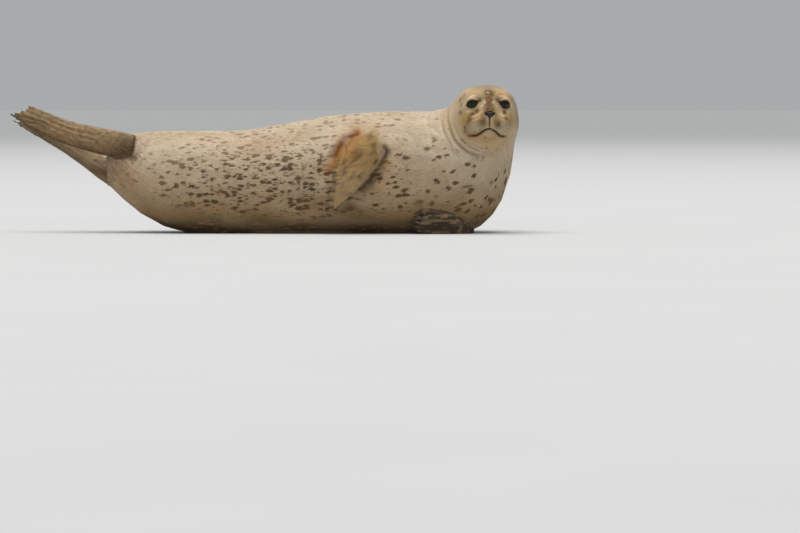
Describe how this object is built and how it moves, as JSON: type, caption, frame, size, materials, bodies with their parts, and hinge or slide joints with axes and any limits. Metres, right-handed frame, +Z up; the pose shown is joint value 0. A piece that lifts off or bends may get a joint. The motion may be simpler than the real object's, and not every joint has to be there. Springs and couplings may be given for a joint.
{
  "type": "spotted harbour seal model",
  "caption": "Life-size still model of a pale, spotted harbour seal lying on its left side, head turned to face sideways and hind flippers raised.",
  "frame": {"origin": "on the ground plane, on the flat under the belly, below the middle of the trunk", "axes": "+X runs along the body from the hind flippers to the head, +Z is up, and -Y is the side that the belly and the face look towards"},
  "size_m": [1.5253, 0.4014, 0.4434],
  "materials": {
    "coat": "short flat fur, pale cream and tan with small brown spots",
    "flipper_coat": "short flat fur, darker brown",
    "claw_horn": "satin dark horn",
    "eye_wet": "wet, near black",
    "nose_leather": "damp, pebbled, near black"
  },
  "bodies": {
    "root": {"hips": "coat", "belly": "coat", "thorax": "coat", "breast": "coat", "neck": "coat", "head": "coat", "muzzle": "coat", "lower_jaw": "coat", "tail": "coat", "fore_flipper_right": "flipper_coat", "fore_flipper_left": "flipper_coat", "hind_flipper_right": "flipper_coat", "hind_flipper_left": "flipper_coat", "eye_left": "eye_wet", "eye_right": "eye_wet", "nose": "nose_leather", "claw_fore_right_1": "claw_horn", "claw_fore_right_2": "claw_horn", "claw_fore_right_3": "claw_horn", "claw_fore_right_4": "claw_horn", "claw_fore_right_5": "claw_horn", "claw_fore_left_1": "claw_horn", "claw_fore_left_2": "claw_horn", "claw_fore_left_3": "claw_horn", "claw_fore_left_4": "claw_horn", "claw_fore_left_5": "claw_horn"}
  },
  "joints": []
}
